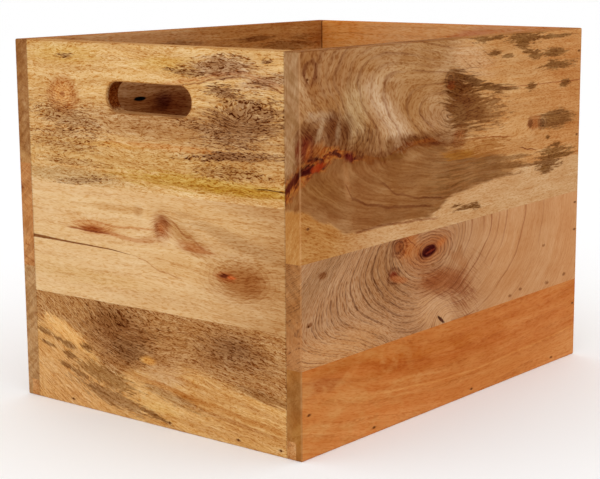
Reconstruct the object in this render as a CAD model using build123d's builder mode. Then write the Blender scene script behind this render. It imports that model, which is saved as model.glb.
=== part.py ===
from build123d import *

import os

# A wooden apple crate: four walls and a floor, each glued up from three boards.
# The long sides overlap the ends and are nailed to them. The floor lies in a rabbet
# that runs round the foot of the walls, and small plugs close the rabbet's open ends.
# Millimetres. X runs along the crate, Y across it and Z up, from the middle of the underside.

# Overall size
length = 400.0
width = 300.0
height = 300.0
board = 14.0

# The rabbet at the foot of each wall, which leaves a thin lip outside the floor
lip = 5.5
rabbet_depth = board - lip
floor_thickness = 14.0

# Hand-holds, one in each end
handle_length = 91.0
handle_width = 24.0
handle_height = 258.5

# Sanded edges
corner_ease = 1.2
handle_ease = 1.2

# Brads
head_radius = 1.1
head_height = 0.8
shank_radius = 0.7
brad_length = 30.0
point_length = 2.0
brad_sink = 0.3
floor_brad_height = 5.0

# Glue lines of each wall, lower then upper, as the height at the line's two ends,
# from -X to +X along a side and from -Y to +Y across an end
glue_lines = {
    "front_side": ((68.5, 71.5), (147.5, 153.3)),
    "back_side": ((112.0, 109.0), (198.5, 196.0)),
    "left_end": ((94.0, 92.3), (187.0, 184.8)),
    "right_end": ((88.0, 90.0), (180.0, 182.5)),
}

# Widths of the floor's front and back boards; the middle one takes what is left
front_floor_width = 98.0
back_floor_width = 101.0

half_length = length / 2
half_width = width / 2
inner_half_width = half_width - board
floor_half_length = half_length - lip
floor_half_width = half_width - lip

# How far each row of corner brads stands in from the crate's end, and its brads' heights
corner_brads = {
    "front_left": (8.5, (34.0, 101.0, 173.0, 280.0)),
    "front_right": (4.8, (49.0, 118.0, 143.0, 205.0, 280.0)),
    "back_left": (7.0, (36.0, 128.0, 214.0, 279.0)),
    "back_right": (6.5, (41.0, 136.0, 209.0, 278.0)),
}

# Where the brads into the floor stand along each wall
floor_brads = {
    "front": (-111.0, 27.0, 159.0),
    "back": (-118.0, 4.0, 126.0),
    "left": (-130.0, -88.0, -16.0, 94.0),
    "right": (-104.0, -6.0, 98.0),
}

os.makedirs("parts", exist_ok=True)


def save(piece, name):
    piece.part.label = name
    export_step(piece.part, f"parts/{name}.step")


# Places for brads: each is a plane on an outer face whose normal points into the wood

def front_place(x, z):
    return Plane(origin=(x, -half_width, z), x_dir=(1, 0, 0), z_dir=(0, 1, 0))


def back_place(x, z):
    return Plane(origin=(x, half_width, z), x_dir=(1, 0, 0), z_dir=(0, -1, 0))


def left_place(y, z):
    return Plane(origin=(-half_length, y, z), x_dir=(0, 1, 0), z_dir=(1, 0, 0))


def right_place(y, z):
    return Plane(origin=(half_length, y, z), x_dir=(0, 1, 0), z_dir=(-1, 0, 0))


face_place = {"front": front_place, "back": back_place, "left": left_place, "right": right_place}

brad_places = {}
for corner, (inset, heights) in corner_brads.items():
    face, end = corner.split("_")
    x = (half_length - inset) * (-1 if end == "left" else 1)
    brad_places[f"{corner}_corner_brads"] = [face_place[face](x, z) for z in heights]
for face, spots in floor_brads.items():
    brad_places[f"{face}_floor_brads"] = [face_place[face](s, floor_brad_height) for s in spots]


# ---------------- brads and their holes ----------------

def driven_brads(places, with_recess=False):
    """Headed, pointed brads sunk just below the faces at places, with the recess over each if asked."""
    on_face = (Align.CENTER, Align.CENTER, Align.MIN)
    shank_length = brad_length - head_height - point_length
    with BuildPart() as brads:
        with Locations(*places):
            if with_recess:
                Cylinder(head_radius, brad_sink, align=on_face)
            with Locations((0, 0, brad_sink)):
                Cylinder(head_radius, head_height, align=on_face)
            with Locations((0, 0, brad_sink + head_height)):
                Cylinder(shank_radius, shank_length, align=on_face)
            with Locations((0, 0, brad_sink + head_height + shank_length)):
                Cone(shank_radius, 0, point_length, align=on_face)
    return brads


all_places = [place for places in brad_places.values() for place in places]
brad_holes = driven_brads(all_places, with_recess=True)


# ---------------- the sanded outline ----------------
# The crate is sanded after assembly, so every board is trimmed to this one shape,
# which holds the eased corners, the eased rim and both hand-holds.

with BuildPart() as outline:
    with BuildSketch():
        Rectangle(length, width)
    extrude(amount=height)
    fillet(outline.edges(), radius=corner_ease)
    with BuildSketch(Plane.XY.offset(floor_thickness)):
        Rectangle(length - 2 * board, width - 2 * board)
    extrude(amount=height - floor_thickness, mode=Mode.SUBTRACT)
    rim = outline.faces().filter_by(Axis.Z).sort_by(Axis.Z)[-1]
    fillet(rim.inner_wires()[0].edges(), radius=corner_ease)
    with BuildSketch(Plane.YZ):
        with Locations((0, handle_height)):
            SlotOverall(handle_length, handle_width)
    extrude(amount=half_length, both=True, mode=Mode.SUBTRACT)
    fillet(outline.edges(Select.LAST).filter_by(Axis.X, reverse=True), radius=handle_ease)


# ---------------- the rabbet ----------------

with BuildPart() as rabbet:
    with BuildSketch():
        Rectangle(length, 2 * floor_half_width)
        Rectangle(length, 2 * inner_half_width, mode=Mode.SUBTRACT)
        Rectangle(2 * floor_half_length, 2 * inner_half_width)
    extrude(amount=floor_thickness)


# ---------------- the walls ----------------

def wall_board(plane, inward, half_run, foot, top):
    """One board on a wall's outer face, between two edges given as the heights at their ends."""
    with BuildPart() as piece:
        with BuildSketch(plane):
            with BuildLine():
                Polyline(
                    (-half_run, foot[0]), (half_run, foot[1]), (half_run, top[1]), (-half_run, top[0]),
                    close=True,
                )
            make_face()
        extrude(amount=inward * board)
        add(outline.part, mode=Mode.INTERSECT)
        add(rabbet.part, mode=Mode.SUBTRACT)
        add(brad_holes.part, mode=Mode.SUBTRACT)
    return piece


# Each wall: the plane of its outer face, the way into the wood along its normal, half its run
walls = {
    "front_side": (Plane.XZ.offset(half_width), -1, half_length),
    "back_side": (Plane.XZ.offset(-half_width), 1, half_length),
    "left_end": (Plane.YZ.offset(-half_length), 1, inner_half_width),
    "right_end": (Plane.YZ.offset(half_length), -1, inner_half_width),
}

for wall, (plane, inward, half_run) in walls.items():
    lower_line, upper_line = glue_lines[wall]
    edges = ((0, 0), lower_line, upper_line, (height, height))
    for level, foot, top in zip(("bottom", "middle", "top"), edges, edges[1:]):
        save(wall_board(plane, inward, half_run, foot, top), f"{wall}_{level}_board")


# ---------------- the floor ----------------

def floor_board(front_edge, back_edge):
    """One board of the floor, lying along X between two places in Y."""
    with BuildPart() as piece:
        with BuildSketch():
            with Locations((0, (front_edge + back_edge) / 2)):
                Rectangle(2 * floor_half_length, back_edge - front_edge)
        extrude(amount=floor_thickness)
        add(brad_holes.part, mode=Mode.SUBTRACT)
    return piece


front_glue_line = -floor_half_width + front_floor_width
back_glue_line = floor_half_width - back_floor_width

save(floor_board(-floor_half_width, front_glue_line), "floor_front_board")
save(floor_board(front_glue_line, back_glue_line), "floor_middle_board")
save(floor_board(back_glue_line, floor_half_width), "floor_back_board")


# ---------------- the plugs ----------------

def rabbet_plug(x_side, y_side):
    """The block that closes one end of a long side's rabbet, flush with the end."""
    with BuildPart() as piece:
        with BuildSketch():
            with Locations((x_side * (half_length - lip / 2), y_side * (floor_half_width - rabbet_depth / 2))):
                Rectangle(lip, rabbet_depth)
        extrude(amount=floor_thickness)
        add(outline.part, mode=Mode.INTERSECT)
    return piece


for y_name, y_side in (("front", -1), ("back", 1)):
    for x_name, x_side in (("left", -1), ("right", 1)):
        save(rabbet_plug(x_side, y_side), f"{y_name}_{x_name}_rabbet_plug")


# ---------------- the brads ----------------

for name, places in brad_places.items():
    save(driven_brads(places), name)
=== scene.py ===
import math

import bpy
from mathutils import Matrix, Vector


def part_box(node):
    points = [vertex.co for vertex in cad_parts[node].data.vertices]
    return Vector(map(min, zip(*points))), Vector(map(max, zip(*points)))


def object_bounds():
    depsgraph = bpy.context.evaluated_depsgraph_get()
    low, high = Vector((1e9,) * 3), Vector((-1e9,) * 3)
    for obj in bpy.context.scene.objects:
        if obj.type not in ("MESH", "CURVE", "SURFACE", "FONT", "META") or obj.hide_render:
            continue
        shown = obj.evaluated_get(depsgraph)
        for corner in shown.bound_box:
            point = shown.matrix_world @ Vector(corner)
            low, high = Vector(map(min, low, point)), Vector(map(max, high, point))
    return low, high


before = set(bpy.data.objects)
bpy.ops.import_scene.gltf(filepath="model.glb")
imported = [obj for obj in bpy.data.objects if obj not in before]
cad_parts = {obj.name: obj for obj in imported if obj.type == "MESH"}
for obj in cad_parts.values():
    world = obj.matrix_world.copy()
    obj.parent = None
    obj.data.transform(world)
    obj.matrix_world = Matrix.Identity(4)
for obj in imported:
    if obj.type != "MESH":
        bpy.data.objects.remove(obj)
cad_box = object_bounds()

# Millimetres in one of the frame's metres
MM = 1000.0


# ---------------- camera ----------------

def look_from(place, towards, roll_degrees, lens, shift):
    """The camera, in the frame's metres, looking along a direction and rolled about it."""
    data = bpy.data.cameras.new("camera")
    data.sensor_width = 36.0
    data.lens = lens
    data.shift_x, data.shift_y = shift
    data.clip_start = 0.05
    data.clip_end = 100.0
    camera = bpy.data.objects.new("camera", data)
    turn = Vector(towards).to_track_quat("-Z", "Y").to_matrix().to_4x4()
    camera.matrix_world = (
        Matrix.Translation(place) @ turn @ Matrix.Rotation(math.radians(roll_degrees), 4, "Z")
    )
    bpy.context.scene.collection.objects.link(camera)
    bpy.context.scene.camera = camera


look_from(
    place=(-1.0544, -0.8470, 0.3712),
    towards=(0.7635, 0.6179, -0.1876),
    roll_degrees=-0.323,
    lens=94.16,
    shift=(-0.011, 0.014),
)


# ---------------- studio ----------------

def soft_light(name, place, target, size, watts):
    data = bpy.data.lights.new(name, "AREA")
    data.shape = "RECTANGLE"
    data.size, data.size_y = size
    data.energy = watts
    lamp = bpy.data.objects.new(name, data)
    lamp.location = place
    lamp.rotation_euler = (Vector(target) - Vector(place)).to_track_quat("-Z", "Y").to_euler()
    bpy.context.scene.collection.objects.link(lamp)


soft_light("key", (-2.4, -1.6, 1.5), (0, 0, 0.15), (1.2, 1.2), 12)

world = bpy.data.worlds.new("studio")
world.use_nodes = True
world.node_tree.nodes["Background"].inputs["Color"].default_value = (1, 1, 1, 1)
world.node_tree.nodes["Background"].inputs["Strength"].default_value = 1.05
bpy.context.scene.world = world
bpy.context.scene.view_settings.view_transform = "Standard"


def pale_floor():
    half = 30.0
    mesh = bpy.data.meshes.new("floor")
    corners = [(-half, -half, 0), (half, -half, 0), (half, half, 0), (-half, half, 0)]
    mesh.from_pydata(corners, [], [(0, 1, 2, 3)])
    floor = bpy.data.objects.new("floor", mesh)
    bpy.context.scene.collection.objects.link(floor)
    material = bpy.data.materials.new("floor")
    material.use_nodes = True
    shader = material.node_tree.nodes["Principled BSDF"]
    shader.inputs["Base Color"].default_value = (0.95, 0.95, 0.95, 1)
    shader.inputs["Roughness"].default_value = 0.9
    shader.inputs["Specular IOR Level"].default_value = 0.1
    mesh.materials.append(material)


pale_floor()


# ---------------- values that vary over a surface ----------------
# Every node is made after the ones that it reads, which keeps a long material within the
# renderer's limit.

class Value:
    """One output of a shader node, which takes + - * / and ** with numbers and other values."""

    def __init__(self, socket):
        self.socket = socket

    def __add__(self, other):
        return maths("ADD", self, other)

    def __sub__(self, other):
        return maths("SUBTRACT", self, other)

    def __rsub__(self, other):
        return maths("SUBTRACT", other, self)

    def __mul__(self, other):
        return maths("MULTIPLY", self, other)

    def __truediv__(self, other):
        return maths("DIVIDE", self, other)

    def __pow__(self, other):
        return maths("POWER", self, other)

    __radd__ = __add__
    __rmul__ = __mul__


def feed(socket, value):
    if isinstance(value, Value):
        socket.id_data.links.new(value.socket, socket)
    else:
        socket.default_value = value


def tree_of(*values):
    return next(v.socket.id_data for v in values if isinstance(v, Value))


def maths(operation, *values):
    node = tree_of(*values).nodes.new("ShaderNodeMath")
    node.operation = operation
    for socket, value in zip(node.inputs, values):
        feed(socket, value)
    return Value(node.outputs[0])


def ease(value, low, high, before=0.0, after=1.0):
    """A smooth step from before, where the value is below low, to after, where it is above high."""
    node = tree_of(value).nodes.new("ShaderNodeMapRange")
    node.interpolation_type = "SMOOTHSTEP"
    feed(node.inputs["Value"], value)
    node.inputs["From Min"].default_value = low
    node.inputs["From Max"].default_value = high
    node.inputs["To Min"].default_value = before
    node.inputs["To Max"].default_value = after
    return Value(node.outputs["Result"])


def vector(x, y, z):
    node = tree_of(x, y, z).nodes.new("ShaderNodeCombineXYZ")
    for socket, value in zip(node.inputs, (x, y, z)):
        feed(socket, value)
    return Value(node.outputs[0])


def blend(first, second, factor, how="MIX"):
    """Two colours mixed by a factor from 0 to 1."""
    node = tree_of(first, second, factor).nodes.new("ShaderNodeMix")
    node.data_type = "RGBA"
    node.blend_type = how
    sockets = {socket.identifier: socket for socket in node.inputs}
    feed(sockets["Factor_Float"], factor)
    feed(sockets["A_Color"], first)
    feed(sockets["B_Color"], second)
    return Value(next(s for s in node.outputs if s.identifier == "Result_Color"))


def ramp(value, stops, interpolation="LINEAR"):
    """A colour picked along a row of (place, colour) stops."""
    node = tree_of(value).nodes.new("ShaderNodeValToRGB")
    feed(node.inputs[0], value)
    node.color_ramp.interpolation = interpolation
    elements = node.color_ramp.elements
    elements.remove(elements[1])
    elements[0].position, elements[0].color = stops[0]
    for place, colour in stops[1:]:
        elements.new(place).color = colour
    return Value(node.outputs["Color"])


def grey_ramp(value, stops, interpolation="LINEAR"):
    """A number picked along a row of (place, number) stops."""
    grey = ramp(value, [(place, (level,) * 3 + (1,)) for place, level in stops], interpolation)
    node = tree_of(value).nodes.new("ShaderNodeSeparateColor")
    feed(node.inputs[0], grey)
    return Value(node.outputs[0])


def noise(place, detail=2.0, roughness=0.5, distortion=0.0):
    """Smooth noise about 0.5, whose features are about one unit of place across."""
    node = tree_of(place).nodes.new("ShaderNodeTexNoise")
    feed(node.inputs["Vector"], place)
    node.inputs["Scale"].default_value = 1.0
    node.inputs["Detail"].default_value = detail
    node.inputs["Roughness"].default_value = roughness
    node.inputs["Distortion"].default_value = distortion
    return Value(node.outputs["Fac"])


# How much light falls on the crate's outer faces, as a share of what makes white show white,
# how much more the wood's sheen adds, and the least that any paint reflects
STUDIO_LIGHT = 1.15
SHEEN = 0.004
BLACKEST = 0.002


def linear(level):
    level /= 255
    return level / 12.92 if level <= 0.04045 else ((level + 0.055) / 1.055) ** 2.4


def tone(*display):
    """The paint that shows as this red, green and blue, 0 to 255, in the studio's light."""
    return tuple(max(linear(level) - SHEEN, BLACKEST) / STUDIO_LIGHT for level in display) + (1.0,)


def tint(*display):
    """What turns white into this red, green and blue, 0 to 255, when it multiplies it."""
    return tuple(linear(level) for level in display) + (1.0,)


# ---------------- where the brads are ----------------

def loose_parts(mesh):
    """The mesh's separate pieces, as lists of vertices."""
    home = list(range(len(mesh.vertices)))

    def root(i):
        while home[i] != i:
            home[i] = home[home[i]]
            i = home[i]
        return i

    for edge in mesh.edges:
        a, b = edge.vertices
        home[root(a)] = root(b)
    parts = {}
    for vertex in mesh.vertices:
        parts.setdefault(root(vertex.index), []).append(vertex)
    return list(parts.values())


def brad_heads(node, wall):
    """Where a node's brads meet the wall's outer face, as (run, up) in millimetres."""
    axes = ["xyz".index(axis) for axis in WALL_AXES[wall][:2]]
    heads = set()
    for part in loose_parts(node.data):
        corners = [node.matrix_world @ vertex.co for vertex in part]
        middle = [(min(c[i] for c in corners) + max(c[i] for c in corners)) / 2 for i in axes]
        heads.add(tuple(round(MM * (m - cad_box[0][i]), 1) for m, i in zip(middle, axes)))
    return sorted(heads)


# ---------------- wood ----------------
# Colours are written as red, green and blue from 0 to 255. What is painted takes them as a
# tone, and what is darkened takes them as a tint.
# On every wall, run is the distance along it in millimetres from the crate's front left corner,
# up is the height, and deep is the distance into the wood from the outer face.

# Each wall's axes for run, up and deep, and which way deep goes
WALL_AXES = {
    "front_side": ("x", "z", "y", 1),
    "back_side": ("x", "z", "y", -1),
    "left_end": ("y", "z", "x", 1),
    "right_end": ("y", "z", "x", -1),
    "floor": ("x", "y", "z", 1),
}


# How thick the walls are, how far each wall runs, and how high they stand, in millimetres
THICKNESS = 14.0
RUN = {
    wall: MM * (cad_box[1]["xyz".index(axes[0])] - cad_box[0]["xyz".index(axes[0])])
    for wall, axes in WALL_AXES.items()
}
HEIGHT = MM * (cad_box[1][2] - cad_box[0][2])

# The length that a profile's points are taken as shares of
PROFILE_SPAN = 400.0

# A hand-hold's middle, and half its length and height with its eased edge
HAND_HOLD = ((149.5, 258.5), (46, 12.6))

# The finish: a dull oiled surface over fine open grain
ROUGHNESS = 0.65
SPECULAR = 0.02
RELIEF_STRENGTH = 0.12
RELIEF_DEPTH = 0.0004


class Wood:
    """The material of one board: grain that flows round its knots, and the marks in it."""

    def __init__(self, name, wall, levels, seed, lean=0.0):
        self.material = bpy.data.materials.new(name)
        self.material.use_nodes = True
        self.tree = self.material.node_tree
        self.wall = wall
        self.levels = levels
        self.shader = self.tree.nodes["Principled BSDF"]
        coordinates = self.tree.nodes.new("ShaderNodeTexCoord")
        split = self.tree.nodes.new("ShaderNodeSeparateXYZ")
        self.tree.links.new(coordinates.outputs["Object"], split.inputs[0])
        run, up, deep, way = WALL_AXES[wall]
        low, high = cad_box
        at = {
            axis: maths("MULTIPLY_ADD", Value(socket), MM, -MM * low[i])
            for i, (axis, socket) in enumerate(zip("xyz", split.outputs))
        }
        across = "xyz".index(deep)
        self.deep = at[deep] if way > 0 else MM * (high[across] - low[across]) - at[deep]
        self.run = at[run]
        self.height = at[up]
        self.up = self.height + self.deep * lean
        self.place = vector(self.run, self.up, self.deep)
        self.seed = seed
        self.flow = self.up
        # The top edges: made matt here, and darkened with painted shade by rim()
        self.dull = ease(self.height, HEIGHT - 1.2, HEIGHT - 0.4)

    # -- fields --

    def cloud(self, length, width=None, detail=2.0, roughness=0.5, distortion=0.0):
        """Noise of that length along the board and width up it."""
        width = width or length
        place = vector(
            self.run / length + self.seed, self.up / width, self.deep / width - self.seed
        )
        return noise(place, detail, roughness, distortion)

    def along_grain(self, length, width, detail=2.0, roughness=0.5, distortion=0.0):
        """Noise drawn out along the grain, wherever that leads."""
        place = vector(
            self.run / length + self.deep / width + self.seed, self.up / length,
            self.flow / width,
        )
        return noise(place, detail, roughness, distortion)

    def from_centre(self, at, reach, turn=0.0, depth=40.0):
        """The place as seen from a spot (run, up and, if given, deep), in shares of the reach."""
        node = self.tree.nodes.new("ShaderNodeMapping")
        node.vector_type = "TEXTURE"
        feed(node.inputs["Vector"], self.place)
        node.inputs["Location"].default_value = (tuple(at) + (0.0,))[:3]
        node.inputs["Rotation"].default_value = (0.0, 0.0, math.radians(turn))
        node.inputs["Scale"].default_value = (reach[0], reach[1], depth)
        return Value(node.outputs[0])

    def distance(self, at, reach, turn=0.0, depth=40.0, plus=0.0):
        """How far the place is from a spot, as a share of that reach and at most 3, plus a value."""
        place = self.from_centre(at, (3.0 * reach[0], 3.0 * reach[1]), turn, 3.0 * depth)
        node = self.tree.nodes.new("ShaderNodeTexGradient")
        node.gradient_type = "SPHERICAL"
        feed(node.inputs["Vector"], place)
        return maths("MULTIPLY_ADD", Value(node.outputs["Fac"]), -3.0, plus + 3.0)

    def profile(self, points):
        """The height of a line through (run, up) points, level beyond its ends."""
        stops = [(u / PROFILE_SPAN, z / PROFILE_SPAN) for u, z in points]
        return grey_ramp(self.run / PROFILE_SPAN, stops, "EASE") * PROFILE_SPAN

    # -- the flow of the grain --

    def hill(self, at, reach, lift, turn=0.0):
        """Pushes the grain aside round a spot, by lift millimetres at its middle."""
        away = self.distance(at, reach, turn)
        self.flow = self.flow + maths("EXPONENT", away * away * -1.0) * lift

    def wander(self, length, width, by, detail=1.0):
        """Lets the grain wander by a few millimetres."""
        self.flow = self.flow + (self.cloud(length, width, detail) - 0.5) * (4.0 * by)

    # -- colour --

    def ground(self, colour):
        """The board's main colour, and the ragged and gritty noise that its marks share."""
        self.colour = tone(*colour)
        self.rag = self.along_grain(22, 1.7, 3.0, 0.65)
        self.grit = self.along_grain(5, 1.3, 3.0, 0.6)
        self.ends = 0.0
        self.rag_off = (self.rag - 0.5) * 2.0
        self.grit_off = (self.grit - 0.5) * 2.0
        self.place = vector(self.run, self.up + self.rag_off * 0.4, self.deep)

    def cover(self, mask, colour, strength=1.0):
        self.colour = blend(self.colour, colour, mask if strength == 1.0 else mask * strength)

    def bands(self, length, width, colour, strength, low=0.42, high=0.6):
        """Bands of a colour along the grain, where its noise is above low, and whole above high."""
        self.cover(ease(self.along_grain(length, width), low, high), tone(*colour), strength)

    def darken(self, mask, colour, strength=1.0):
        mask = mask if strength == 1.0 else mask * strength
        self.colour = blend(self.colour, colour, mask, "MULTIPLY")

    def above(self, line, soft=2.0, ragged=6.0):
        """1 over a height, with an edge that is ragged along the grain."""
        return ease(maths("MULTIPLY_ADD", self.rag_off, ragged, self.up - line), -soft, soft)

    def patch(self, at, reach, turn=0.0, soft=0.3, ragged=0.8, gritty=0.0, depth=40.0, level=1.0):
        """A level in an ellipse, with an edge that is ragged along the grain, and 0 outside."""
        away = self.distance(at, reach, turn, depth, self.rag_off * ragged)
        if gritty:
            away = maths("MULTIPLY_ADD", self.grit_off, gritty, away)
        return ease(away, 1.0 - soft, 1.0 + soft, level, 0.0)

    def paint(self, at, reach, colour, strength=1.0, **shape):
        mask = self.patch(at, reach, level=strength, **shape)
        self.colour = blend(self.colour, tone(*colour), mask)

    def paints(self, *marks):
        """Paints marks in turn: each is a spot, its reach, colour and strength, and then as much
        of its shape as differs from a plain patch: turn, ragged, soft, gritty and depth."""
        for at, reach, colour, strength, *shape in marks:
            shape = dict(zip(("turn", "ragged", "soft", "gritty", "depth"), shape))
            self.paint(at, reach, colour, strength, **shape)

    def line(self, points, width, colour, strength=1.0, wobble=1.0):
        """A thin line through (run, up) points."""
        off = self.up - self.profile(points) + (self.cloud(9.0) - 0.5) * (4.0 * wobble)
        mask = 1.0 - ease(maths("ABSOLUTE", off), width * 0.3, width)
        first, last = points[0][0], points[-1][0]
        mask = mask * ease(self.run, first - 2.0, first + 3.0)
        mask = mask * (1.0 - ease(self.run, last - 8.0, last + 2.0))
        self.darken(mask, tint(*colour), strength)

    def streaks(self, at, reach, colour, lie, length, width, strength=1.0, low=0.46, high=0.62,
                **shape):
        """Streaks of a colour that lie at an angle of their own, in a soft patch."""
        level = noise(self.from_centre(at, (length, width), lie, width), 3.0, 0.6, 0.4)
        self.cover(ease(level, low, high) * self.patch(at, reach, **shape), tone(*colour), strength)

    def knot(self, at, reach, colour, heart, rings=1.8, strength=0.8):
        """A small knot: rings about a dark heart."""
        colour = tone(*colour)
        heart = tone(*heart)
        away = self.distance(at, reach, depth=30.0) + (self.cloud(5.0) - 0.5) * 0.5
        inside = 1.0 - ease(away, 0.8, 1.1)
        self.cover(inside, colour, strength * 0.7)
        turn_of_ring = maths("FRACT", away * rings)
        self.darken(turn_of_ring * turn_of_ring * inside, heart, strength)
        self.cover(1.0 - ease(away, 0.15, 0.4), heart, strength)

    def slot_shade(self, at, reach):
        """A hand-hold made matt inside, with painted shade on its walls but not on its floor."""
        beyond = maths("MAXIMUM", maths("ABSOLUTE", self.run - at[0]) - (reach[0] - reach[1]), 0.0)
        rise = self.height - at[1]
        hole = 1.0 - ease(maths("SQRT", beyond * beyond + rise * rise), reach[1], reach[1] + 1.0)
        self.dull = maths("MAXIMUM", self.dull, hole)
        self.darken(ease(self.deep, 1.5, 4.0) * hole * ease(rise, -12.0, -8.0), tint(144, 88, 50))

    def arcs(self, at, reach, spacing, colour, strength, within):
        """Fine curved lines about a spot, that far apart as a share of the reach."""
        away = self.distance(at, reach) + (self.cloud(9.0) - 0.5) * 0.5
        turn = maths("FRACT", away / spacing)
        self.darken(turn * turn * within, tint(*colour), strength)

    def outline(self, at, reach, colour, strength=0.7, turn=0.0, wide=0.35):
        """A soft dark ring at the rim of an ellipse."""
        away = self.distance(at, reach, turn) + (self.cloud(7.0) - 0.5) * 1.1
        ring = ease(away, 1.0 - wide, 1.0) * (1.0 - ease(away, 1.0, 1.0 + wide))
        self.darken(ring, tint(*colour), strength)

    def end_grain(self, colour, dark):
        """The cut ends of the fibres, on the faces at either end of the board."""
        far = RUN[self.wall]
        self.ends = 1.0 - ease(self.run, 0.5, 1.3) + ease(self.run, far - 1.3, far - 0.5)
        across = (self.height - self.deep * 0.9) / 5.0
        along = (self.height + self.deep) / 40.0
        lines = noise(vector(across, along, self.seed), 2.0)
        self.cover(self.ends, blend(tone(*colour), tone(*dark), ease(lines, 0.38, 0.64)), 0.9)

    def rim(self):
        """The top edges, darkened with painted shade to offset the pale grazing reflection that they catch.
        """
        self.darken(self.dull, tint(226, 208, 190))

    def joints(self):
        """The thin dark line where an end meets the sides, fainter outside, where it is sanded."""
        near = maths("MINIMUM", self.run, RUN[self.wall] - self.run) - THICKNESS
        inside = ease(self.deep, 6.0, 8.0, 0.35, 1.0)
        self.darken((1.0 - ease(near, 0.4, 1.4)) * inside, tint(110, 74, 48))

    def painted_corner_highlight(self):
        """Paler wood along the crate's upright corners, which are sanded round: a painted highlight where
        they catch the light.
        """
        near = maths("MINIMUM", self.run, RUN[self.wall] - self.run) + self.deep
        self.cover(1.0 - ease(near, 0.5, 1.4), tone(206, 150, 100), 0.3)

    def nails(self):
        """A dark torn mark along the grain round each brad."""
        for name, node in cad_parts.items():
            if name.startswith(self.wall.split("_")[0]) and name.endswith("brads"):
                for place in brad_heads(node, self.wall):
                    if self.levels[0] - 4.0 < place[1] < self.levels[1] + 4.0:
                        self.paints((place, (2.6, 0.9), (118, 68, 32), 0.75, 0, 0.2, 0.5, 0, 12))

    def rings(self, spacing, colour, strength=0.6, sharp=3.0, wobble=1.5, within=None):
        """Growth rings: each darkens slowly and ends sharply."""
        uneven = noise(vector(self.flow / (spacing * 3.0), self.seed + 3.0, self.run / 300.0), 1.0)
        turn = maths("FRACT", self.flow / spacing + uneven * wobble)
        faded = ease(self.along_grain(50, spacing, 1.0), 0.3, 0.65)
        mask = turn ** sharp * faded * ease(self.along_grain(6, 2, 1.0), 0.34, 0.56)
        if within is not None:
            mask = mask * within
        self.darken(mask, tint(*colour), strength)

    def contours(self, lines, width, colour, strength=1.0, within=None):
        """Single rings, each a (flow, strength): soft on the inside and sharp on the outside."""
        span = lines[-1][0] + 2.0 * width
        stops = [(0.0, 0.0)]
        for flow, weight in lines:
            stops.append(((flow - width) / span, 0.0))
            stops.append((flow / span, weight))
            stops.append(((flow + width * 0.35) / span, 0.0))
        mask = grey_ramp(self.flow / span, stops) * ease(self.along_grain(30, 8, 1.0), 0.3, 0.5)
        if within is not None:
            mask = mask * within
        self.darken(mask, tint(*colour), strength)

    def figure(self, bands=(180, 7, 0.2), fibres=(26, 1.6, 0.2), pores=(5, 0.9, 0.3),
               clouds=(40, 0.2), curl=0.3, dark=None):
        """Deepens and lightens the colour along the grain: each is a length, width and strength."""
        if self.wall.endswith("side"):
            # painted highlight on the rounded upright corners
            self.painted_corner_highlight()
        if self.wall.endswith("end"):
            self.joints()
        if self.wall != "floor":
            # painted shade on the top edges
            self.rim()
        self.fibre = self.along_grain(fibres[0], fibres[1], 1.0)
        self.pore = self.along_grain(pores[0], pores[1], 1.0, 0.5, curl)
        short = ease(self.pore, 0.45, 0.72) * pores[2] * (1.0 - self.ends * 0.75)
        if dark is not None:
            short = short * dark
        level = (0.5 - self.along_grain(bands[0], bands[1], 1.0)) * (2.0 * bands[2])
        level = level + (0.5 - self.fibre) * (2.0 * fibres[2]) + short
        level = level + (0.5 - self.cloud(clouds[0], clouds[0] * 0.5)) * (2.0 * clouds[1])
        level = maths("MAXIMUM", level + (1.0 - pores[2] * 0.3), 0.6)
        node = self.tree.nodes.new("ShaderNodeGamma")
        feed(node.inputs["Color"], self.colour)
        feed(node.inputs["Gamma"], level)
        self.colour = Value(node.outputs[0])

    def finish(self):
        """Joins up the shader: wood is duller where it is unsanded or very dark."""
        feed(self.shader.inputs["Base Color"], self.colour)
        red = self.tree.nodes.new("ShaderNodeSeparateColor")
        feed(red.inputs[0], self.colour)
        matt = maths("MAXIMUM", self.dull, ease(Value(red.outputs[0]), 0.03, 0.15, 1.0, 0.0))
        sanded = self.fibre * -0.3 + ROUGHNESS
        feed(self.shader.inputs["Roughness"], maths("MAXIMUM", sanded, matt))
        self.shader.inputs["Specular IOR Level"].default_value = SPECULAR
        relief = self.tree.nodes.new("ShaderNodeBump")
        relief.inputs["Strength"].default_value = RELIEF_STRENGTH
        relief.inputs["Distance"].default_value = RELIEF_DEPTH
        feed(relief.inputs["Height"], self.fibre - self.pore)
        self.tree.links.new(relief.outputs["Normal"], self.shader.inputs["Normal"])


# ---------------- the front side ----------------

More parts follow.
